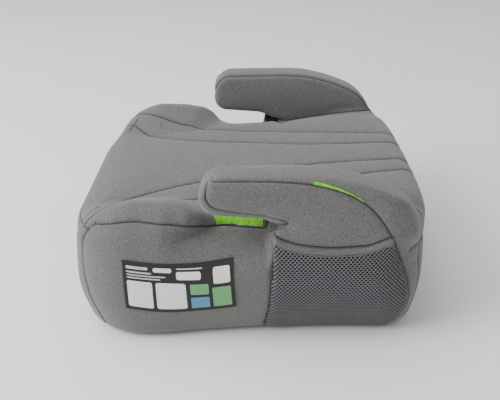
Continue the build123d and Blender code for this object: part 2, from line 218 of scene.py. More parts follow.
# ---------------- triangle meshes
class Skin:
    """Points and triangles that seams can be cut into."""

    def __init__(self, points, faces):
        self.points = points
        self.faces = faces

    def edges(self):
        """Each edge once, and for each triangle the numbers of its three edges."""
        ends = np.sort(self.faces[:, [[0, 1], [1, 2], [2, 0]]].reshape(-1, 2), axis=1)
        count = len(self.points)
        keys, number = np.unique(ends[:, 0] * count + ends[:, 1], return_inverse=True)
        return np.c_[keys // count, keys % count], number.reshape(-1, 3)

    def relax(self, field, rounds=4):
        """Evens out the mesh along the surface of a field."""
        for _ in range(rounds):
            ends, _ = self.edges()
            total, count = np.zeros_like(self.points), np.zeros(len(self.points))
            for a, b in ((0, 1), (1, 0)):
                np.add.at(total, ends[:, a], self.points[ends[:, b]])
                np.add.at(count, ends[:, a], 1)
            middle = total / np.maximum(count, 1)[:, None]
            self.points = onto(field, self.points * 0.4 + middle * 0.6, 1)

    def cut(self, seam, within, surface, snap=0.35):
        """Puts mesh edges along a seam, where within says so."""
        p = self.points
        f = seam(*p.T)
        active = np.abs(f) < CUT_REACH
        active[active] = within(*p[active].T)
        near = active & (np.abs(f) < 2 * snap)
        g = gradient(seam, p[near])
        size = np.maximum(np.linalg.norm(g, axis=1), 0.05)
        close = np.abs(f[near]) / size < snap
        index = np.nonzero(near)[0][close]
        p[index] -= g[close] * (f[index] / size[close] ** 2)[:, None]
        f[index] = 0.0
        ends, number = self.edges()
        crossing = (f[ends[:, 0]] * f[ends[:, 1]] < 0) & active[ends].all(axis=1)
        a, b = ends[crossing].T
        share = (f[a] / (f[a] - f[b]))[:, None]
        fresh = np.full(len(ends), -1)
        fresh[crossing] = len(p) + np.arange(crossing.sum())
        self.points = np.vstack([p, onto(surface, p[a] + (p[b] - p[a]) * share, 1)])
        mids = fresh[number]
        cuts = (mids >= 0).sum(axis=1)
        faces = [self.faces[cuts == 0]]
        for turn in range(3):
            corner = np.roll(self.faces, -turn, axis=1)
            mid = np.roll(mids, -turn, axis=1)
            one = (cuts == 1) & (mid[:, 0] >= 0)
            c, m = corner[one], mid[one, 0]
            faces += [np.c_[c[:, 0], m, c[:, 2]], np.c_[m, c[:, 1], c[:, 2]]]
            two = (cuts == 2) & (mid[:, 0] >= 0) & (mid[:, 2] >= 0)
            c, m, n = corner[two], mid[two, 0], mid[two, 2]
            faces += [np.c_[c[:, 0], m, n], np.c_[m, c[:, 1], c[:, 2]], np.c_[m, c[:, 2], n]]
        three = cuts == 3
        c, m = self.faces[three], mids[three]
        faces += [np.c_[c[:, k], m[:, k], m[:, k - 1]] for k in range(3)] + [m]
        self.faces = np.vstack(faces)


def cover_surface(voxel):
    """The cover as one closed, even mesh."""
    steps = [low + voxel * np.arange(int((high - low) / voxel) + 1) for low, high in zip(GRID_LOW, GRID_HIGH)]
    values = cover_field(*np.meshgrid(*steps, indexing="ij")).astype(np.float32)
    grid = openvdb.FloatGrid(background=3 * voxel)
    grid.copyFromArray(np.clip(values, -3 * voxel, 3 * voxel))
    points, triangles, quads = grid.convertToPolygons(isovalue=0.0, adaptivity=0.0)
    points = points.astype(float) * voxel + np.array(GRID_LOW)
    faces = np.vstack([triangles.reshape(-1, 3), quads[:, [0, 1, 2]], quads[:, [0, 2, 3]]]).astype(np.int64)
    skin = Skin(onto(cover_field, points), faces)
    skin.relax(cover_field)
    return skin


# ---------------- seams
def rounded_loop(points, rounds=3):
    """Closed outline with its corners cut back until they are round."""
    loop = np.array(points, float)
    for _ in range(rounds):
        after = np.roll(loop, -1, axis=0)
        loop = np.stack([loop * 0.75 + after * 0.25, loop * 0.25 + after * 0.75], axis=1).reshape(-1, 2)
    return loop


def loop_distance(y, z, loop):
    """Distance to a closed outline in the side view, negative inside it."""
    best = np.full(y.shape, 1e9)
    inside = np.zeros(y.shape, bool)
    for (ay, az), (by, bz) in zip(loop, np.roll(loop, -1, axis=0)):
        dy, dz = by - ay, bz - az
        share = np.clip(((y - ay) * dy + (z - az) * dz) / (dy * dy + dz * dz), 0, 1)
        best = np.minimum(best, (y - ay - share * dy) ** 2 + (z - az - share * dz) ** 2)
        if dz:
            inside ^= ((az > z) != (bz > z)) & (y < ay + (z - az) * dy / dz)
    return np.where(inside, -1, 1) * np.sqrt(best)


outer_loop = rounded_loop(OUTER_LOOP)


def inner_seam(x, y, z):
    return np.abs(x) - along(y, INNER_SEAM)


def outer_seam(x, y, z):
    return np.abs(x) - along(y, OUTER_SEAM)


def side_seam(x, y, z):
    return z - along(y, SIDE_SEAM)


def front_seam(x, y, z):
    return y - along(z, FRONT_SEAM)


def nose_seam(x, y, z):
    return z - (123 + 19 * smooth(110, 174, np.abs(x)))


def outer_panel_seam(x, y, z):
    return loop_distance(y, z, outer_loop)


def binding_seam(x, y, z):
    return z - along(y, BINDING_TOP)


def arm_root_seam(x, y, z):
    ax = np.abs(x)
    return arm_field(ax, y, z) - body_field(ax, y, z)


def arm_inner_seam(x, y, z):
    return np.abs(x) - (161 + 20 * smooth(200, 168, z) * (1 - smooth(30, 44, y)))


def rear_side_seam(x, y, z):
    return np.abs(x) - REAR_SIDE_X


def rear_top_seam(x, y, z):
    return z - REAR_TOP_Z


def hem_seam(x, y, z):
    return z - HEM_Z


def hem_edge(x, y, z):
    """Distance in plan from the inner edge of the hem, negative in the open middle."""
    ax = np.abs(x)
    side = both(ax - half_width(y, 0 * z), y - 200, 58)
    return both(side, -y - 201, 64) + HEM_REACH


def at_slot_end(y, z):
    """Where the pocket's front corner turns in to close the belt slot."""
    return (y > 8) & (y < 44) & (z > 118) & (z < 166)


def in_outer_panel(x, y, z):
    ax = np.abs(x)
    return (outer_panel_seam(x, y, z) < 0) & (ax > np.where(z > 118, 190 - 26 * at_slot_end(y, z), 140))


def on_arm(x, y, z):
    return (arm_root_seam(x, y, z) < 0) & (z > 120)


def in_side_panel(x, y, z):
    return ((np.abs(x) > 138) & (y < 60) & (side_seam(x, y, z) < 0) & (front_seam(x, y, z) > 0)
            & (outer_panel_seam(x, y, z) > 0) & ~on_arm(x, y, z))


def above_edges(x, y, z):
    """Where the top panels lie, before the side panels are taken away."""
    return np.where(y < 0, nose_seam(x, y, z) > 0, z > REAR_TOP_Z)


PANELS = ["seat_center", "seat_strip", "bolster", "front_cover", "rear_cover", "side_cover", "pocket_lining",
          "armrest_outer", "armrest_inner", "armrest_gusset", "hem", "opening"]


def panel_number(p):
    """Which panel each point belongs to, as a place in PANELS."""
    x, y, z = p.T
    ax = np.abs(x)
    top = np.where(inner_seam(x, y, z) < 0, 0, np.where(outer_seam(x, y, z) < 0, 1, 2))
    low = np.where(y < 0, 3, 4)
    number = np.where(above_edges(x, y, z), top, low)
    number = np.where((y > 120) & (ax > REAR_SIDE_X) & (number != 7), 9, number)
    arm = np.where(arm_inner_seam(x, y, z) < 0, 8, 9)
    number = np.where(on_arm(x, y, z), arm, number)
    number = np.where(in_side_panel(x, y, z), 5, number)
    outside = np.where(binding_seam(x, y, z) > 0, 7, 6)
    number = np.where(in_outer_panel(x, y, z), outside, number)
    number = np.where(z < HEM_Z, 10, number)
    return np.where((z < 6) & (hem_edge(x, y, z) < 0), 11, number)


def top_region(x, y, z):
    return above_edges(x, y, z) & ~on_arm(x, y, z) & ~in_side_panel(x, y, z) & (z > 100) & (np.abs(x) < 178)


def side_seam_region(x, y, z):
    ax = np.abs(x)
    return (ax > 146) & (y < 36) & (front_seam(x, y, z) > -2) & (z > 110) & ~on_arm(x, y, z)


def front_seam_region(x, y, z):
    return (np.abs(x) > 120) & (y < -150) & (z > HEM_Z) & (side_seam(x, y, z) < 2)


def nose_region(x, y, z):
    return (y < -150) & (z > 110) & (front_seam(x, y, z) < 2)


def outer_panel_region(x, y, z):
    ax = np.abs(x)
    arm_side = (ax > 190) & (z > 118)
    body_side = (ax > 140) & (z <= 124) & (z > HEM_Z)
    slot_end = (ax > 164) & at_slot_end(y, z)
    return (arm_side | body_side | slot_end) & (y < 192)


def binding_region(x, y, z):
    return (np.abs(x) > 190) & (z > 120) & (outer_panel_seam(x, y, z) < 2) & (y > 18)


def root_region(x, y, z):
    return (np.abs(x) < 186) & (np.abs(x) > 140) & (y > 30) & (z > 118)


def arm_inner_region(x, y, z):
    return on_arm(x, y, z) & (np.abs(x) < 186) & (np.abs(x) > 157.6)


def rear_side_region(x, y, z):
    return (y > 150) & ~on_arm(x, y, z) & (z > HEM_Z) & (z < 166)


def rear_top_region(x, y, z):
    return (y > 150) & (np.abs(x) < REAR_SIDE_X + 2) & (z > 90)


def low_region(x, y, z):
    return z < 8


# seam, where it runs, depth of its crease
SEAMS = [
    (inner_seam, top_region, 2.6),
    (outer_seam, top_region, 2.4),
    (side_seam, side_seam_region, 1.8),
    (front_seam, front_seam_region, 1.6),
    (nose_seam, nose_region, 1.6),
    (outer_panel_seam, outer_panel_region, 1.5),
    (binding_seam, binding_region, 1.0),
    (arm_root_seam, root_region, 1.6),
    (arm_inner_seam, arm_inner_region, 1.0),
    (rear_side_seam, rear_side_region, 1.4),
    (rear_top_seam, rear_top_region, 1.4),
    (hem_seam, low_region, 0.0),
    (hem_edge, low_region, 0.0),
]


def cut_seams(skin):
    for seam, region, depth in SEAMS:
        levels = (-SEAM_LIP, 0, SEAM_LIP) if depth else (0,)
        for level in levels:
            skin.cut(lambda x, y, z, s=seam, l=level: s(x, y, z) - l, region, cover_field)


def seam_distance(skin_points, normals):
    """Distance along the cover to the nearest seam, and how deep the nearest crease is there."""
    sink = np.zeros(len(skin_points))
    nearest = np.full(len(skin_points), FAR_FROM_SEAMS)
    for seam, region, depth in SEAMS:
        if not depth:
            continue
        index = np.nonzero(np.abs(seam(*skin_points.T)) < FAR_FROM_SEAMS)[0]
        index = index[region(*skin_points[index].T)]
        q = skin_points[index]
        g = gradient(seam, q)
        flat = g - normals[index] * (g * normals[index]).sum(1)[:, None]
        away = np.abs(seam(*q.T)) / np.maximum(np.linalg.norm(flat, axis=1), 0.25)
        sink[index] = np.maximum(sink[index], depth * np.exp(-(away / (0.8 * SEAM_LIP)) ** 2))
        nearest[index] = np.minimum(nearest[index], away)
    return nearest, sink


def inflate(points):
    """Lets cloth under pressure swell between its seams and returns how far each point rises."""
    coarse = cover_surface(CLOTH_VOXEL)
    slopes = unit(gradient(cover_field, coarse.points))
    nearest, _ = seam_distance(coarse.points, slopes)
    pad = new_object("cloth_pad", coarse.points, coarse.faces)
    held = pad.vertex_groups.new(name="held")
    at_seams, at_floor = 1 - smooth(0, 7, nearest), 1 - smooth(8, 26, coarse.points[:, 2])
    grip = np.maximum(at_seams, at_floor)
    for step in range(1, 11):
        index = np.nonzero(np.round(grip * 10) == step)[0]
        held.add(index.tolist(), step / 10, "REPLACE")
    cloth = pad.modifiers.new("cloth", "CLOTH")
    cloth.settings.quality = 5
    cloth.settings.mass = 0.3
    cloth.settings.tension_stiffness = 15
    cloth.settings.compression_stiffness = 15
    cloth.settings.bending_stiffness = 0.5
    cloth.settings.vertex_group_mass = "held"
    cloth.settings.use_pressure = True
    cloth.settings.uniform_pressure_force = 4
    cloth.settings.effector_weights.gravity = 0
    cloth.point_cache.frame_start = 1
    cloth.point_cache.frame_end = CLOTH_FRAMES
    for frame_number in range(1, CLOTH_FRAMES + 1):
        bpy.context.scene.frame_set(frame_number)
    shown = pad.evaluated_get(bpy.context.evaluated_depsgraph_get())
    after = np.empty(len(coarse.points) * 3)
    shown.data.vertices.foreach_get("co", after)
    bpy.context.scene.frame_set(1)
    bpy.data.objects.remove(pad)
    rise = ((after.reshape(-1, 3) / MM - coarse.points) * slopes).sum(1)
    rise = np.clip(rise, -CLOTH_CAP / 4, CLOTH_CAP)
    return spread(rise, coarse.points, points)


def spread(values, places, wanted):
    """Values at scattered places carried over to other points close by."""
    tree = KDTree(len(places))
    for k, place in enumerate(places):
        tree.insert(place, k)
    tree.balance()
    out = np.empty(len(wanted))
    for k, place in enumerate(wanted):
        found = tree.find_n(place, 4)
        weights = [1 / (0.5 + distance) for _, _, distance in found]
        out[k] = sum(w * values[i] for w, (_, i, _) in zip(weights, found)) / sum(weights)
    return out


def crease(skin):
    """Crowns the cover between its seams and draws it in along them."""
    normals = unit(gradient(cover_field, skin.points))
    nearest, sink = seam_distance(skin.points, normals)
    roll = SEAM_ROLL * (1 - np.exp(-nearest / 3.5)) - SEAM_ROLL
    rise = inflate(skin.points)
    fade = smooth(3, 30, skin.points[:, 2])
    skin.rest = skin.points
    skin.rise = (rise + roll) * fade - sink
    skin.points = skin.rest + normals * skin.rise[:, None]
    return nearest


def vertex_normals(points, faces):
    corners = points[faces]
    across = np.cross(corners[:, 1] - corners[:, 0], corners[:, 2] - corners[:, 0])
    total = np.zeros_like(points)
    for k in range(3):
        np.add.at(total, faces[:, k], across)
    return unit(total)


# ---------------- objects
def new_object(name, points, faces, materials=(), sharp=None, seam=None):
    """A smooth mesh object from points in millimetres; sharp lists edges to keep crisp."""
    mesh = bpy.data.meshes.new(name)
    mesh.from_pydata((np.asarray(points) * MM).tolist(), [], np.asarray(faces).tolist(), shade_flat=False)
    for material in materials:
        mesh.materials.append(material)
    if sharp is not None and len(sharp):
        ends = np.empty(2 * len(mesh.edges), np.int64)
        mesh.edges.foreach_get("vertices", ends)
        ends = np.sort(ends.reshape(-1, 2), axis=1)
        sharp = np.sort(sharp, axis=1)
        count = len(points)
        crisp = np.isin(ends[:, 0] * count + ends[:, 1], sharp[:, 0] * count + sharp[:, 1])
        mesh.attributes.new("sharp_edge", "BOOLEAN", "EDGE").data.foreach_set("value", crisp)
    if seam is not None:
        # distance to the nearest seam, from which the knit material paints shade into the creases
        mesh.attributes.new("seam", "FLOAT", "POINT").data.foreach_set("value", seam)
    piece = bpy.data.objects.new(name, mesh)
    bpy.context.scene.collection.objects.link(piece)
    return piece


def thicken(points, faces, normals, thickness):
    """Closed thin solid below a patch: points, faces, rim edges, and which point each came from."""
    used, local = np.unique(faces, return_inverse=True)
    outer_faces = local.reshape(-1, 3)
    count = len(used)
    outer = points[used]
    inner = outer - normals[used] * thickness
    ends = outer_faces[:, [[0, 1], [1, 2], [2, 0]]].reshape(-1, 2)
    open_ends = ends[~np.isin(ends[:, 0] * count + ends[:, 1], ends[:, 1] * count + ends[:, 0])]
    a, b = open_ends.T
    walls = np.vstack([np.c_[b, a, a + count], np.c_[b, a + count, b + count]])
    all_faces = np.vstack([outer_faces, outer_faces[:, ::-1] + count, walls])
    rim = np.vstack([open_ends, open_ends + count])
    return np.vstack([outer, inner]), all_faces, rim, np.r_[used, used]


def on_body(piece, slot, *nodes):
    """Fixes a piece to the seat, in place of its plain CAD nodes."""
    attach(piece, "root")
    if nodes:
        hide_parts(*nodes)
    return piece


SIDES = {"left": 1, "right": -1}
# panel, name of its piece, CAD nodes it stands for; %s is the side
COVER_PIECES = [
    ("seat_center", "seat_center_cover", ["seat_center_panel", "seat_foam"]),
    ("seat_strip", "seat_strip_%s_cover", ["seat_strip_%s"]),
    ("bolster", "bolster_%s_cover", ["bolster_panel_%s"]),
    ("front_cover", "front_cover", ["front_panel", "front_foam"]),
    ("rear_cover", "rear_cover", ["rear_panel", "rear_foam"]),
    ("side_cover", "side_%s_cover", ["side_panel_%s", "side_foam_%s"]),
    ("pocket_lining", "pocket_%s_lining", []),
    ("armrest_outer", "armrest_outer_%s_cover", ["armrest_outer_panel_%s"]),
    ("armrest_inner", "armrest_inner_%s_cover", ["armrest_inner_panel_%s"]),
    ("armrest_gusset", "armrest_gusset_%s_cover", ["armrest_gusset_%s", "armrest_foam_%s"]),
    ("hem", "hem_cover", ["cover_hem"]),
]


def make_cover(materials):
    """Sews the cover: one piece for each panel, each with the thickness of the laminated knit."""
    skin = cover_surface(VOXEL)
    cut_seams(skin)
    numbers = panel_number(onto(cover_field, skin.points[skin.faces].mean(1), 1))
    nearest = crease(skin)
    normals = vertex_normals(skin.points, skin.faces)
    side_of = np.sign(skin.points[skin.faces].mean(1)[:, 0])
    made = {}
    for panel, label, nodes in COVER_PIECES:
        for side_name, side in SIDES.items():
            both_sides = "%s" not in label
            if both_sides and side < 0:
                continue
            chosen = numbers == PANELS.index(panel)
            if not both_sides:
                chosen &= side_of == side
            points, faces, rim, source = thicken(skin.points, skin.faces[chosen], normals, COVER)
            material = materials["lining" if panel == "pocket_lining" else "knit"]
            name = label if both_sides else label % side_name
            piece = new_object(name, points, faces, [material], rim, nearest[source])
            on_body(piece, "knit_cover", *[n % side_name if "%s" in n else n for n in nodes])
            made[name] = piece
    return skin, made


# ---------------- trims that lie on the cover
class Backing:
    """The finished cover's left-hand side, for laying trims on."""

    def __init__(self, skin):
        keep = (skin.rest[:, 0] > 120) & (skin.rest[:, 1] < 205)
        self.places = skin.rest[keep]
        self.rise = skin.rise[keep]

    def lift(self, points, height):
        """Points at a height above the finished cover, and the directions they were lifted in."""
        points = onto(cover_field, points, 2)
        normals = unit(gradient(cover_field, points))
        rise = spread(self.rise, self.places, points)
        return points + normals * (rise + height)[:, None], normals


def side_x(y, z):
    """How far out the cover is on the left-hand side."""
    low, high = np.where((y > 22) & (z > 120), 188.0, 120.0), np.full(y.shape, 216.0)
    for _ in range(16):
        middle = (low + high) / 2
        outside = cover_field(middle, y, z) > 0
        high = np.where(outside, middle, high)
        low = np.where(outside, low, middle)
    return (low + high) / 2


def on_side(y, z):
    return np.c_[side_x(y, z), y, z]


def grid_faces(rows, columns):
    k = np.arange(rows * columns).reshape(rows, columns)
    a, b, c, d = k[:-1, :-1].ravel(), k[1:, :-1].ravel(), k[1:, 1:].ravel(), k[:-1, 1:].ravel()
    return np.vstack([np.c_[a, b, c], np.c_[a, c, d]])


def lay(name, backing, base, faces, height, thickness, material, side, crisp=True, seam=None):
    """A thin closed piece that follows the cover at a height above it."""
    points, normals = backing.lift(base, height)
    corners = points[faces]
    across = np.cross(corners[:, 1] - corners[:, 0], corners[:, 2] - corners[:, 0])
    if (across * normals[faces[:, 0]]).sum() < 0:
        faces = faces[:, ::-1]
    points, faces, rim, source = thicken(points, faces, vertex_normals(points, faces), thickness)
    if side < 0:
        points = points * [-1, 1, 1]
        faces = faces[:, ::-1]
    shade = None if seam is None else seam[source]
    return new_object(name, points, faces, [material], rim if crisp else None, shade)


# net of the side pockets
NET_PITCH_S, NET_PITCH_T = 4.7, 2.8     # between holes along a row, and between rows
NET_HOLE = (1.65, 1.5)
NET_TOP = 146.0
NET_LENGTH, NET_HEIGHT = 190.0, 156.0
NET_THICK = 0.8
ROW_STEP = 4.0                          # heights that the side is unrolled at


def unroll():
    """Where each point of the flat net lies on the side: Y and Z by distance along it and down it."""
    zs = np.arange(-2.0, 162.0, ROW_STEP)
    ys = np.arange(14.0, 194.0, 1.0)
    y, z = (v.ravel() for v in np.meshgrid(ys, zs))
    x = side_x(y, z).reshape(len(zs), len(ys))
    x = np.where((ys < 26) & (zs > 90)[:, None], x[:, [12]], x)
    steps = np.hypot(np.diff(x, axis=1), 1.0)
    along_row = np.c_[np.zeros(len(zs)), np.cumsum(steps, axis=1)]
    middle = x[:, len(ys) // 2]
    down = np.r_[0, np.cumsum(np.hypot(np.diff(middle), ROW_STEP))]

    def place(s, t):
        z = np.interp(np.interp(NET_TOP, zs, down) - t, down, zs)
        row = np.clip((z - zs[0]) / ROW_STEP, 0, len(zs) - 1.001)
        low = row.astype(int)
        y = np.empty_like(s)
        for k in np.unique(low):
            here = low == k
            below = np.interp(s[here], along_row[k], ys)
            above = np.interp(s[here], along_row[k + 1], ys)
            y[here] = below + (above - below) * (row[here] - k)
        return y, z
    return place


def net_pattern():
    """Rhombic cells of the flat net, each with a round hole: points and quads."""
    columns, rows = int(NET_LENGTH / NET_PITCH_S), int(NET_HEIGHT / NET_PITCH_T)
    turn = np.arange(8) * math.pi / 4
    half_s, half_t = NET_PITCH_S / 2, NET_PITCH_T
    rim = np.c_[np.round(np.cos(turn), 9), np.round(np.sin(turn), 9)]
    rim[1::2] = np.sign(rim[1::2]) / 2
    rim *= [half_s, half_t]
    hole = np.c_[np.cos(turn) * NET_HOLE[0], np.sin(turn) * NET_HOLE[1]]
    cells = [(NET_PITCH_S * (i + j % 2 / 2), NET_PITCH_T * j) for j in range(rows) for i in range(columns)]
    centres = np.array(cells)
    rims = (centres[:, None] + rim).reshape(-1, 2)
    holes = (centres[:, None] + hole).reshape(-1, 2)
    _, first, shared = np.unique(np.round(rims / [half_s / 2, half_t / 2]), axis=0, return_index=True,
                                 return_inverse=True)
    shared = shared.reshape(-1, 8)
    inner = np.arange(len(holes)).reshape(-1, 8) + len(first)
    after, inner_after = np.roll(shared, -1, axis=1), np.roll(inner, -1, axis=1)
    quads = np.stack([shared, after, inner_after, inner], axis=2)
    return centres, np.vstack([rims[first], holes]), quads


def net_depth(y, z):
    """How far inside the net's outline a point is."""
    edge = outer_panel_seam(None, y, z)
    top = binding_seam(None, y, z) + BINDING_WIDTH - 4
    return -np.maximum(np.maximum(edge, top), HEM_Z + 1 - z)


def make_net(backing, side_name, side, material):
    """The cells of the flat net that lie inside the pocket's outline, laid on the side."""
    place = unroll()
    centres, flat_points, quads = net_pattern()
    y, z = place(*centres.T)
    quads = quads[net_depth(y, z) > -0.5].reshape(-1, 4)
    used, quads = np.unique(quads, return_inverse=True)
    quads = quads.reshape(-1, 4)
    y, z = place(*flat_points[used].T)
    depth = net_depth(y, z)
    step = 0.5
    for _ in range(2):
        slope_y = (net_depth(y + step, z) - net_depth(y - step, z)) / (2 * step)
        slope_z = (net_depth(y, z + step) - net_depth(y, z - step)) / (2 * step)
        push = np.maximum(0.2 - depth, 0)
        y, z = y + slope_y * push, z + slope_z * push
        depth = net_depth(y, z)
    height = 0.3 + 1.9 * smooth(0, 6, depth)
    faces = np.vstack([quads[:, [0, 1, 2]], quads[:, [0, 2, 3]]])
    net = lay(f"pocket_mesh_{side_name}_net", backing, on_side(y, z), faces, height, NET_THICK, material,
              side, crisp=False)
    on_body(net, "pocket_mesh", f"pocket_mesh_{side_name}")


POCKET_FRONT = 24.5       # Y of the binding's front end


def pocket_rear(z):
    """Y of the pocket's sloping rear edge, at the binding's height."""
    return 161 - 0.43 * (z - 132)


def make_binding(backing, side_name, side, material):
    """Padded knit edge of the pocket, with its fold and the line of stitches along it; the knit material
    paints shade along its edges and fold.
    """
    columns = 120
    profile = [(0.0, 0.1), (0.06, 1.3), (0.16, 2.3), (0.32, 2.9), (0.5, 3.0), (0.66, 2.9), (0.75, 2.5),
               (0.79, 1.9), (0.83, 2.3), (0.9, 2.6), (0.96, 2.4), (1.0, 1.6)]
    across, heights = np.array(profile).T
    u, v = np.meshgrid(np.linspace(0, 1, columns), across)
    y = POCKET_FRONT + u * (pocket_rear(140) - POCKET_FRONT)
    for _ in range(3):
        z = along(y, BINDING_TOP) - v * BINDING_WIDTH
        y = POCKET_FRONT + u * (pocket_rear(z) - POCKET_FRONT)
    height = np.repeat(heights, columns) * np.minimum(smooth(-0.02, 0.03, u), smooth(1.02, 0.97, u)).ravel()
    base = on_side(y.ravel(), z.ravel())
    # distance to the binding's edges and its stitched fold: the knit material paints shade there, and a dark
    # stitch line at the fold
    to_seam = np.minimum(v, np.abs(v - 0.79) + 0.06) * BINDING_WIDTH
    to_seam = np.minimum(to_seam, np.minimum(u, 1 - u) * 130 + 0.3)
    tape = lay(f"pocket_binding_{side_name}_tape", backing, base, grid_faces(len(profile), columns), height,
               1.6, material, side, seam=to_seam.ravel())
    on_body(tape, "binding_tape", f"pocket_binding_{side_name}")


# ends of the green tapes along Y, and the width that shows
BAND_ENDS, BAND_WIDTH = (-38, 15), 11.5
STRIP_ENDS, STRIP_WIDTHS = (66, 119), (3.7, 1.7)


def march(start, ahead, widths, steps):
    """Rows of points going sideways over the cover from a line on it."""
    rows = [start]
    for _ in range(steps - 1):
        p = rows[-1]
        sideways = unit(np.cross(unit(gradient(cover_field, p)), ahead))
        rows.append(onto(cover_field, p + sideways * (widths / (steps - 1))[:, None], 1))
    return np.vstack(rows)


def green_tape(name, backing, y, z, widths, side, material):
    """Flat tape that starts on a seam line and lies upwards from it."""
    start = on_side(y, z)
    ahead = unit(np.gradient(start, axis=0))
    steps = 9
    base = march(start, ahead, widths, steps)
    edge = np.repeat(np.linspace(0, 1, steps), len(y))
    ends = np.tile(np.linspace(0, 1, len(y)), steps)
    ripple = 0.18 * np.sin(ends * 23 + 2.1 * edge) + 0.12 * np.sin(ends * 51 - 3 * edge)
    height = 1.0 + 0.5 * np.sin(edge * math.pi) + ripple * smooth(0, 0.15, ends) * smooth(1, 0.85, ends)
    tape = lay(name, backing, base, grid_faces(steps, len(y)), height, 0.9, material, side)
    on_body(tape, "green_guide", name.replace("_tape", ""))


def make_belt_guides(backing, side_name, side, material):
    """The band on the slot's sill and the strip in the armrest's top seam."""
    y = np.linspace(*BAND_ENDS, 60)
    green_tape(f"belt_guide_band_{side_name}_tape", backing, y, along(y, SIDE_SEAM) + 0.6,
               np.full(60, BAND_WIDTH), side, material)
    y = np.linspace(*STRIP_ENDS, 54)
    top_edge = outer_loop[(outer_loop[:, 0] > 50) & (outer_loop[:, 1] > 175)]
    seam_y, seam_z = top_edge[np.argsort(top_edge[:, 0])].T
    green_tape(f"belt_guide_strip_{side_name}_tape", backing, y, np.interp(y, seam_y, seam_z) + 0.5,
               np.linspace(*STRIP_WIDTHS, 54), side, material)


# ---------------- care label
LABEL_CORNERS = [(-140, 120), (-19, 118), (-142, 53), (-16, 54)]    # (Y, Z): top edge, then bottom
LABEL_SAG = (5.0, 7.0)                                              # of the same two edges
LABEL_SIZE = (125.0, 66.0)
# what is printed, in millimetres from the label's upper front corner: left, top, width, height
PRINT_BARS = [(4, 5, 24, 3.6), (4, 11.5, 28, 2), (4, 15.5, 44, 1.6), (4, 19, 38, 1.6), (60, 5, 30, 1.4)]
PRINT_PANELS = [(4, 24, 28, 37), (36, 24, 34, 37), (34, 5, 21, 5.5), (60, 9, 28, 10), (102, 6, 19, 20)]
PRINT_BLUE = [(75, 44, 21, 17)]
PRINT_GREEN = [(75, 25, 21, 15), (100, 31, 21, 30)]


def label_place(u, v):
    """A point of the label, from its front to its rear edge and from top to bottom, as (Y, Z)."""
    (y0, z0), (y1, z1), (y2, z2), (y3, z3) = LABEL_CORNERS
    sag = 4 * u * (1 - u)
    top_z = z0 + (z1 - z0) * u - LABEL_SAG[0] * sag
    bottom_z = z2 + (z3 - z2) * u - LABEL_SAG[1] * sag
    y = (y0 + (y1 - y0) * u) * (1 - v) + (y2 + (y3 - y2) * u) * v
    return y, top_z + (bottom_z - top_z) * v


def label_patch(name, backing, box, columns, rows, height, thickness, material, corner=0.0):
    """Rounded rectangle of the label's face."""
    left, top, width, tall = box
    u, v = np.meshgrid(np.linspace(0, 1, columns), np.linspace(0, 1, rows))
    if corner:
        across = np.minimum(u, 1 - u) * width
        trim = np.clip(corner - across, 0, corner)
        inset = corner - np.sqrt(np.maximum(corner ** 2 - trim ** 2, 0))
        v = (inset + v * (tall - 2 * inset)) / tall
    label_u = (left + u.ravel() * width) / LABEL_SIZE[0]
    label_v = (top + v.ravel() * tall) / LABEL_SIZE[1]
    y, z = label_place(label_u, label_v)
    drape = 0.35 * np.sin(label_u * 9 + 1.3) * np.sin(label_v * 4 + 0.4)
    faces = grid_faces(rows, columns)
    return lay(name, backing, on_side(y, z), faces, height + drape, thickness, material, 1)


def joined(name, pieces):
    """Several printed patches as one piece."""
    with bpy.context.temp_override(active_object=pieces[0], selected_editable_objects=pieces):
        bpy.ops.object.join()
    pieces[0].name = name
    return pieces[0]


def make_label(backing, materials):
    """The woven label, with plain blocks of colour on it."""
    label = label_patch("care_label_patch", backing, (0, 0, *LABEL_SIZE), 84, 46, 1.3, 0.7,
                        materials["label"])
    on_body(label, "label", "care_label")
    for kind, boxes, corner in (("bars", PRINT_BARS, 0.5), ("panels", PRINT_PANELS, 2.0),
                                ("blue", PRINT_BLUE, 1.0), ("green", PRINT_GREEN, 1.0)):
        patches = [label_patch("print", backing, box, 21, 9, 1.55, 0.12, materials["print_" + kind], corner)
                   for box in boxes]
        on_body(joined(f"care_label_{kind}", patches), "label")


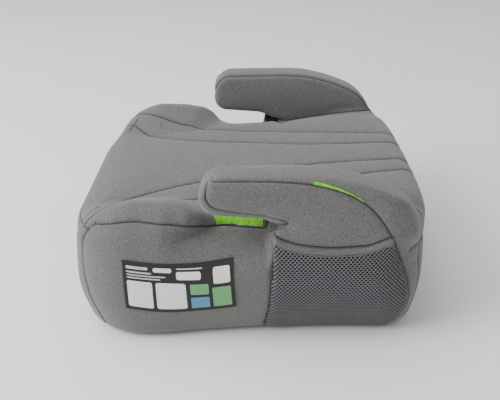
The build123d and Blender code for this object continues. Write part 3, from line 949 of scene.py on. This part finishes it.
# ---------------- materials
class Nodes:
    """Short way to wire a procedural material."""

    def __init__(self, name, roughness, metallic=0.0):
        self.material = bpy.data.materials.new(name)
        self.material.use_nodes = True
        self.tree = self.material.node_tree
        self.shader = self.tree.nodes["Principled BSDF"]
        self.shader.inputs["Roughness"].default_value = roughness
        self.shader.inputs["Metallic"].default_value = metallic
        self.place = self.add("ShaderNodeTexCoord").outputs["Object"]

    def add(self, kind, inputs=(), **settings):
        node = self.tree.nodes.new(kind)
        for key, value in settings.items():
            setattr(node, key, value)
        for key, value in dict(inputs).items():
            if isinstance(value, bpy.types.NodeSocket):
                self.tree.links.new(value, node.inputs[key])
            else:
                node.inputs[key].default_value = value
        return node

    def noise(self, scale, detail=2.0, roughness=0.5, stretch=None):
        place = self.place
        if stretch:
            place = self.add("ShaderNodeMapping", {"Vector": place, "Scale": stretch}).outputs[0]
        inputs = {"Vector": place, "Scale": scale, "Detail": detail, "Roughness": roughness}
        return self.add("ShaderNodeTexNoise", inputs).outputs["Fac"]

    def cells(self, scale):
        return self.add("ShaderNodeTexVoronoi", {"Vector": self.place, "Scale": scale}).outputs["Distance"]

    def math(self, operation, a, b):
        return self.add("ShaderNodeMath", {0: a, 1: b}, operation=operation).outputs[0]

    def ramp(self, value, low, high, to_low=0.0, to_high=1.0):
        inputs = {"Value": value, "From Min": low, "From Max": high, "To Min": to_low, "To Max": to_high}
        return self.add("ShaderNodeMapRange", inputs).outputs[0]

    def mix(self, share, a, b):
        node = self.add("ShaderNodeMix", data_type="RGBA")
        for socket, value in zip((node.inputs[0], node.inputs[6], node.inputs[7]), (share, a, b)):
            if isinstance(value, bpy.types.NodeSocket):
                self.tree.links.new(value, socket)
            else:
                socket.default_value = value
        return node.outputs[2]

    def finish(self, colour, bump=None, distance=0.0003, strength=0.5, roughness=None):
        """Wires colour, bump and roughness to the shader and gives the material."""
        self.tree.links.new(colour, self.shader.inputs["Base Color"])
        if bump is not None:
            inputs = {"Height": bump, "Distance": distance, "Strength": strength}
            normal = self.add("ShaderNodeBump", inputs).outputs[0]
            self.tree.links.new(normal, self.shader.inputs["Normal"])
        if roughness is not None:
            self.tree.links.new(roughness, self.shader.inputs["Roughness"])
        return self.material


def grey(value, tint=(1, 1, 1)):
    return (*(value * part for part in tint), 1)


WARM = (1.012, 1.0, 0.975)
PALE_INK = (0.62, 0.62, 0.60, 1)
WHITE_INK = (0.78, 0.78, 0.76, 1)


def knit_material():
    """Grey melange knit: fine stitches, light and dark fibres, darker in the seams, where shade is painted
    into the creases.
    """
    n = Nodes("grey_knit", 0.92)
    n.shader.inputs["Sheen Weight"].default_value = 0.25
    n.shader.inputs["Sheen Roughness"].default_value = 0.5
    n.shader.inputs["Specular IOR Level"].default_value = 0.2
    stitches = n.cells(820)
    fibres = n.noise(600, 3.0, 0.75)
    streaks = n.noise(160, 3.0, 0.6, (1, 1, 2.2))
    cloudy = n.noise(9, 2.0)
    colour = n.mix(n.ramp(fibres, 0.32, 0.68), grey(0.05, WARM), grey(0.22, WARM))
    colour = n.mix(n.ramp(streaks, 0.4, 0.62, 0, 0.4), colour, grey(0.158, WARM))
    colour = n.mix(n.ramp(stitches, 0.25, 0.7, 0, 0.45), colour, grey(0.08, WARM))
    colour = n.mix(n.ramp(cloudy, 0.35, 0.65, 0, 0.16), colour, grey(0.125, WARM))
    seam = n.add("ShaderNodeAttribute", attribute_name="seam").outputs["Fac"]
    # painted shade: near black right in each seam's crease, partly painted crease shade and partly the seam's
    # dark thread line
    colour = n.mix(n.ramp(seam, 0.3, 1.8, 0.72, 0.0), colour, grey(0.02))
    # painted shade: a broader, fainter darkening over the few millimetres either side of each seam
    colour = n.mix(n.ramp(seam, 1.0, 7.0, 0.12, 0.0), colour, grey(0.08))
    rough = n.ramp(fibres, 0.3, 0.7, 0.86, 0.97)
    height = n.math("ADD", n.math("MULTIPLY", stitches, -1.0), n.math("MULTIPLY", fibres, 0.6))
    return n.finish(colour, height, 0.0005, 0.55, rough)


def fine_cloth(name, dark, light, scale, roughness, tint=(1, 1, 1)):
    """Plain close weave in two tones."""
    n = Nodes(name, roughness)
    threads = n.cells(scale)
    fibres = n.noise(scale * 0.6, 3.0, 0.65)
    broad = n.noise(22, 2.0)
    colour = n.mix(n.ramp(fibres, 0.3, 0.7), grey(dark, tint), grey(light, tint))
    colour = n.mix(n.ramp(threads, 0.2, 0.7, 0, 0.5), colour, grey(dark * 0.7, tint))
    colour = n.mix(n.ramp(broad, 0.35, 0.65, 0, 0.2), colour, grey(dark, tint))
    return n.finish(colour, n.math("SUBTRACT", fibres, threads), 0.0003, 0.5,
                    n.ramp(fibres, 0.3, 0.7, roughness - 0.06, min(roughness + 0.05, 1)))


def green_material():
    """Bright green satin tape with fine cross ribs."""
    n = Nodes("green_tape", 0.5)
    ribs = n.add("ShaderNodeTexWave", {"Vector": n.place, "Scale": 210.0, "Distortion": 1.2, "Detail": 1.0},
                 bands_direction="Y").outputs["Fac"]
    threads = n.noise(900, 2.0)
    broad = n.noise(60, 2.0)
    colour = n.mix(n.ramp(ribs, 0.1, 0.9), (0.10, 0.42, 0.008, 1), (0.23, 0.72, 0.016, 1))
    colour = n.mix(n.ramp(threads, 0.35, 0.7, 0, 0.35), colour, (0.33, 0.82, 0.05, 1))
    colour = n.mix(n.ramp(broad, 0.42, 0.62, 0, 0.4), colour, (0.06, 0.30, 0.005, 1))
    return n.finish(colour, n.math("ADD", ribs, threads), 0.0002, 0.5, n.ramp(threads, 0.3, 0.7, 0.42, 0.6))


def print_material(name, colour, second):
    """Ink on the label: slightly uneven, broken by the weave below it."""
    n = Nodes(name, 0.6)
    weave = n.cells(1500)
    patchy = n.noise(160, 3.0)
    shade = n.mix(n.ramp(weave, 0.2, 0.7, 0, 0.3), colour, second)
    shade = n.mix(n.ramp(patchy, 0.4, 0.7, 0, 0.25), shade, second)
    return n.finish(shade, weave, 0.0001, 0.4)


def plastic_material(name, dark, light, roughness):
    """Moulded plastic with a spark-eroded grain and a few scuffs."""
    n = Nodes(name, roughness)
    grain = n.noise(1600, 3.0)
    mottle = n.noise(30, 3.0)
    scuffs = n.noise(140, 4.0, 0.7, (1, 7, 1))
    colour = n.mix(n.ramp(mottle, 0.3, 0.7), grey(dark), grey(light))
    colour = n.mix(n.ramp(scuffs, 0.62, 0.75, 0, 0.35), colour, grey(light * 2))
    return n.finish(colour, grain, 0.00012, 0.4, n.ramp(scuffs, 0.4, 0.75, roughness, roughness + 0.15))


def rubber_material():
    """Black rubber with some dust on it."""
    n = Nodes("foot_rubber_black", 0.85)
    grain = n.noise(1100, 3.0)
    dust = n.noise(70, 4.0, 0.65)
    colour = n.mix(n.ramp(dust, 0.45, 0.75), grey(0.018), grey(0.06))
    return n.finish(colour, grain, 0.0002, 0.4, n.ramp(dust, 0.4, 0.7, 0.78, 0.95))


def steel_material():
    """Zinc-plated steel, brushed and a little dull in places."""
    n = Nodes("zinc_steel", 0.35, 1.0)
    brushed = n.noise(420, 3.0, 0.6, (1, 9, 1))
    tarnish = n.noise(240, 3.0)
    colour = n.mix(n.ramp(tarnish, 0.35, 0.7), grey(0.52), grey(0.38, WARM))
    return n.finish(colour, brushed, 0.00006, 0.4, n.ramp(brushed, 0.3, 0.7, 0.28, 0.46))


def make_materials():
    return {
        "knit": knit_material(),
        "lining": fine_cloth("pocket_lining_black", 0.004, 0.010, 1300, 0.95),
        "net": fine_cloth("pocket_net_grey", 0.11, 0.25, 1900, 0.85, (1.0, 0.98, 1.06)),
        "label": fine_cloth("label_weave", 0.008, 0.016, 1700, 0.72),
        "elastic": fine_cloth("hem_elastic_black", 0.014, 0.035, 1400, 0.9),
        "green": green_material(),
        "print_bars": print_material("print_pale_bars", PALE_INK, grey(0.25)),
        "print_panels": print_material("print_pale_panels", WHITE_INK, grey(0.55)),
        "print_blue": print_material("print_blue", (0.05, 0.22, 0.36, 1), (0.10, 0.34, 0.42, 1)),
        "print_green": print_material("print_green", (0.10, 0.30, 0.12, 1), (0.20, 0.42, 0.16, 1)),
        "shell": plastic_material("shell_black_plastic", 0.018, 0.030, 0.55),
        "tray": plastic_material("tray_black_plastic", 0.016, 0.026, 0.5),
        "core": plastic_material("armrest_black_plastic", 0.020, 0.034, 0.55),
        "rubber": rubber_material(),
        "steel": steel_material(),
    }


# CAD nodes that stay as they are, with their material
KEPT_NODES = {
    "seat_shell": "shell", "base_tray": "tray", "rubber_feet": "rubber", "shell_screws": "steel",
    "armrest_core_left": "core", "armrest_core_right": "core",
    "armrest_screws_left": "steel", "armrest_screws_right": "steel", "hem_elastic": "elastic",
}


def dress_frame(materials):
    for node, material in KEPT_NODES.items():
        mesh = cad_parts[node].data
        mesh.materials.clear()
        mesh.materials.append(materials[material])


# ---------------- stage, light and camera
FLOOR_REACH = 6000.0
CAMERA_ELEVATION = math.radians(28)
CAMERA_TARGET = Vector((0, 0, 0.086))
CAMERA_DISTANCE = 0.9095
CAMERA_LENS = 46.99


def make_stage():
    """Plain pale floor."""
    n = Nodes("studio_floor", 0.8)
    cloudy = n.noise(3, 2.0)
    material = n.finish(n.mix(n.ramp(cloudy, 0.3, 0.7), grey(0.90), grey(0.93)))
    corners = [(x * FLOOR_REACH, y * FLOOR_REACH, 0) for x, y in ((-1, -1), (1, -1), (1, 1), (-1, 1))]
    floor = new_object("studio_floor", corners, [(0, 1, 2, 3)], [material])


def area_light(name, place, size, power):
    """Soft box aimed at the middle of the seat."""
    light = bpy.data.lights.new(name, "AREA")
    light.shape = "DISK"
    light.size = size
    light.energy = power
    lamp = bpy.data.objects.new(name, light)
    lamp.location = place
    lamp.rotation_euler = (Vector((0, 0, 0.1)) - Vector(place)).to_track_quat("-Z", "Y").to_euler()
    bpy.context.scene.collection.objects.link(lamp)


def make_lights():
    world = bpy.data.worlds.new("soft_studio")
    world.use_nodes = True
    background = world.node_tree.nodes["Background"]
    background.inputs["Color"].default_value = (1, 1, 1, 1)
    background.inputs["Strength"].default_value = 0.66
    bpy.context.scene.world = world
    area_light("key_light", (0.9, -2.2, 1.7), 1.8, 90)
    area_light("top_light", (-0.2, -0.9, 2.4), 2.2, 30)


def make_camera():
    """Looks at the seat's left-hand side from above."""
    away = Vector((math.cos(CAMERA_ELEVATION), 0, math.sin(CAMERA_ELEVATION)))
    data = bpy.data.cameras.new("camera")
    data.lens = CAMERA_LENS
    data.sensor_width = 36.0
    camera = bpy.data.objects.new("camera", data)
    camera.location = CAMERA_TARGET + away * CAMERA_DISTANCE
    camera.rotation_euler = (-away).to_track_quat("-Z", "Y").to_euler()
    bpy.context.scene.collection.objects.link(camera)
    bpy.context.scene.camera = camera


# ---------------- the whole seat
make_stage()
make_lights()
make_camera()
materials = make_materials()
dress_frame(materials)
cover_skin, cover_pieces = make_cover(materials)
backing = Backing(cover_skin)
for side_name, side in SIDES.items():
    make_net(backing, side_name, side, materials["net"])
    make_binding(backing, side_name, side, materials["knit"])
    make_belt_guides(backing, side_name, side, materials["green"])
make_label(backing, materials)
